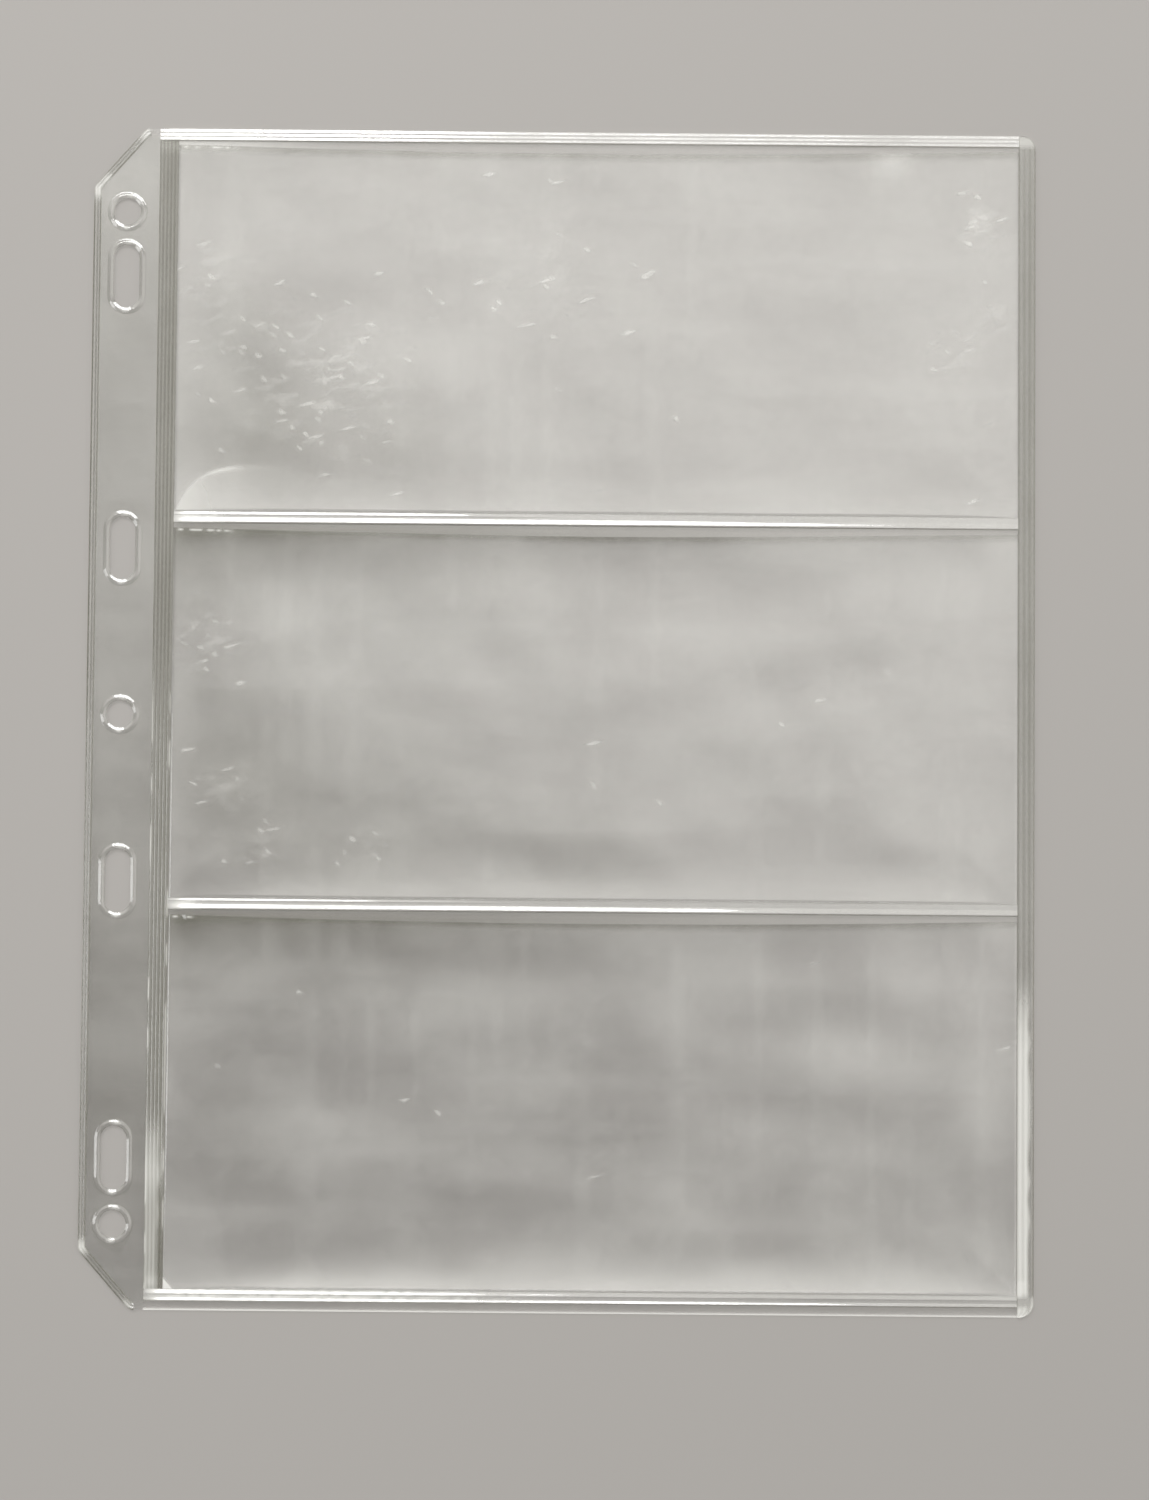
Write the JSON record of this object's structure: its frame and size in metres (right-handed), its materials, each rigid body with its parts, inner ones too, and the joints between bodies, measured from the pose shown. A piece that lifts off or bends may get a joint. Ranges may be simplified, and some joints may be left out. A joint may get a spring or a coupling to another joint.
{
  "type": "banknote album page",
  "caption": "Clear vinyl album page with stacked open-topped banknote pockets and a folding, ring-punched binding margin with chamfered ends.",
  "frame": {"origin": "under the middle of the page, on the surface that it lies on", "axes": "+Z out of the page's face, +Y from its bottom edge to its top edge, +X from the punched margin to the outer edge"},
  "size_m": [0.202, 0.252, 0.0006],
  "materials": {
    "clear_film": "clear vinyl film, glossy, faintly cloudy and scuffed",
    "welded_band": "fused vinyl, glossy, with fine ridges along the band"
  },
  "bodies": {
    "pocket_panel": {"back_film": "clear_film", "left_weld": "welded_band", "right_weld": "welded_band", "top_weld": "welded_band", "top_pocket_foot_weld": "welded_band", "middle_pocket_foot_weld": "welded_band", "bottom_pocket_foot_weld": "welded_band"},
    "binding_margin": {"margin_back_film": "clear_film", "margin_front_film": "clear_film", "margin_edge_weld": "welded_band"},
    "top_pocket_front": {"top_pocket_film": "clear_film"},
    "middle_pocket_front": {"middle_pocket_film": "clear_film"},
    "bottom_pocket_front": {"bottom_pocket_film": "clear_film"}
  },
  "joints": [
    {"name": "margin_fold", "type": "hinge", "parent": "pocket_panel", "child": "binding_margin", "pos_m": [-0.0874, 0, 0.0003], "axis": [0, 1, 0], "range_deg": [-80, 80], "stiffness_Nm_per_rad": 0.004},
    {"name": "top_pocket_mouth", "type": "hinge", "parent": "pocket_panel", "child": "top_pocket_front", "pos_m": [0, 0.0438, 0.0004], "axis": [1, 0, 0], "range_deg": [0, 6], "stiffness_Nm_per_rad": 0.02},
    {"name": "middle_pocket_mouth", "type": "hinge", "parent": "pocket_panel", "child": "middle_pocket_front", "pos_m": [0, -0.0387, 0.0004], "axis": [1, 0, 0], "range_deg": [0, 6], "stiffness_Nm_per_rad": 0.02},
    {"name": "bottom_pocket_mouth", "type": "hinge", "parent": "pocket_panel", "child": "bottom_pocket_front", "pos_m": [0, -0.1212, 0.0004], "axis": [1, 0, 0], "range_deg": [0, 6], "stiffness_Nm_per_rad": 0.02}
  ]
}
